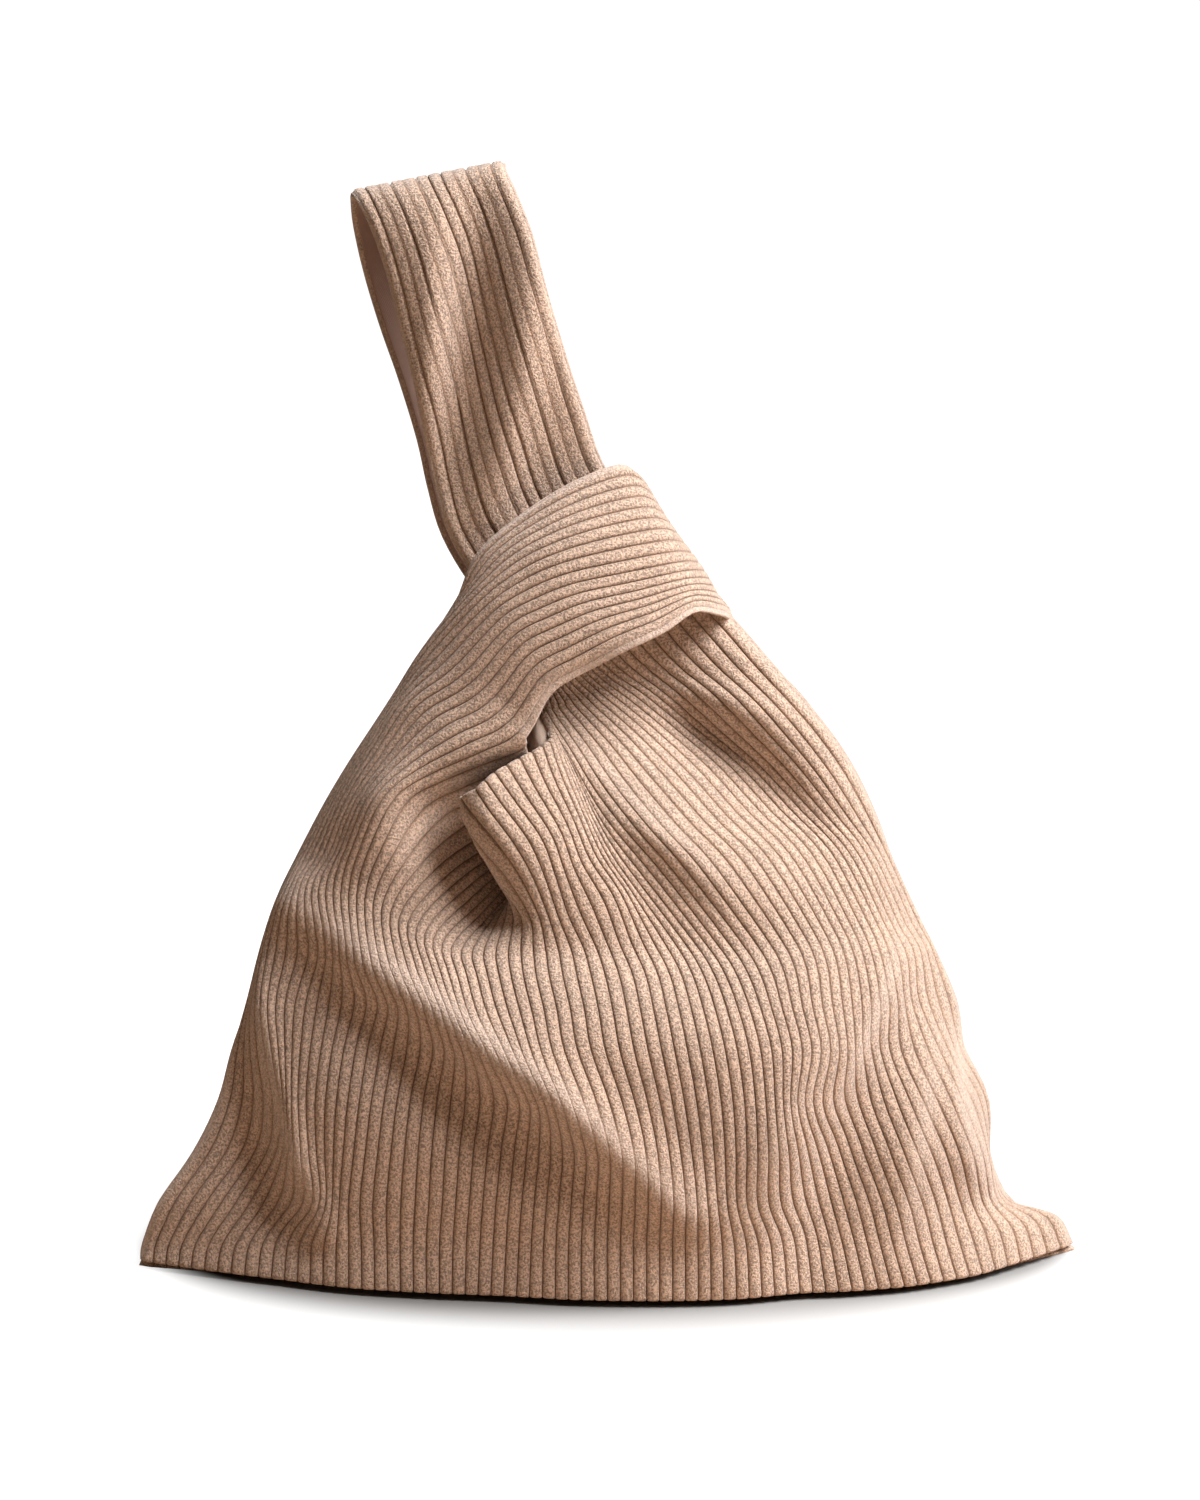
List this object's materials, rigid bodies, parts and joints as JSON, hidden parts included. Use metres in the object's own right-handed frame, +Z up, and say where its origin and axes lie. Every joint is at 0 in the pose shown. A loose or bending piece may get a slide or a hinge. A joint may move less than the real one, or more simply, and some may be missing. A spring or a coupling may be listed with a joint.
{
  "type": "knot bag",
  "caption": "Soft wide-wale corduroy knot bag standing on its base, its long looped handle drawn through the short one so that the pouch hangs closed below the knot.",
  "frame": {"origin": "middle of the footprint, on the surface that the bag stands on", "axes": "+X to the right seen from the front, +Y from the front panel to the back panel, +Z up to the top of the long handle"},
  "size_m": [0.3562, 0.1464, 0.417],
  "materials": {
    "corduroy": "matt cotton corduroy with raised wales and a short pile",
    "lining": "smooth plain-woven cotton"
  },
  "bodies": {
    "root": {"front_panel": "corduroy", "back_panel": "corduroy", "handle_lining": "lining", "neckline_facing": "lining"}
  },
  "joints": []
}
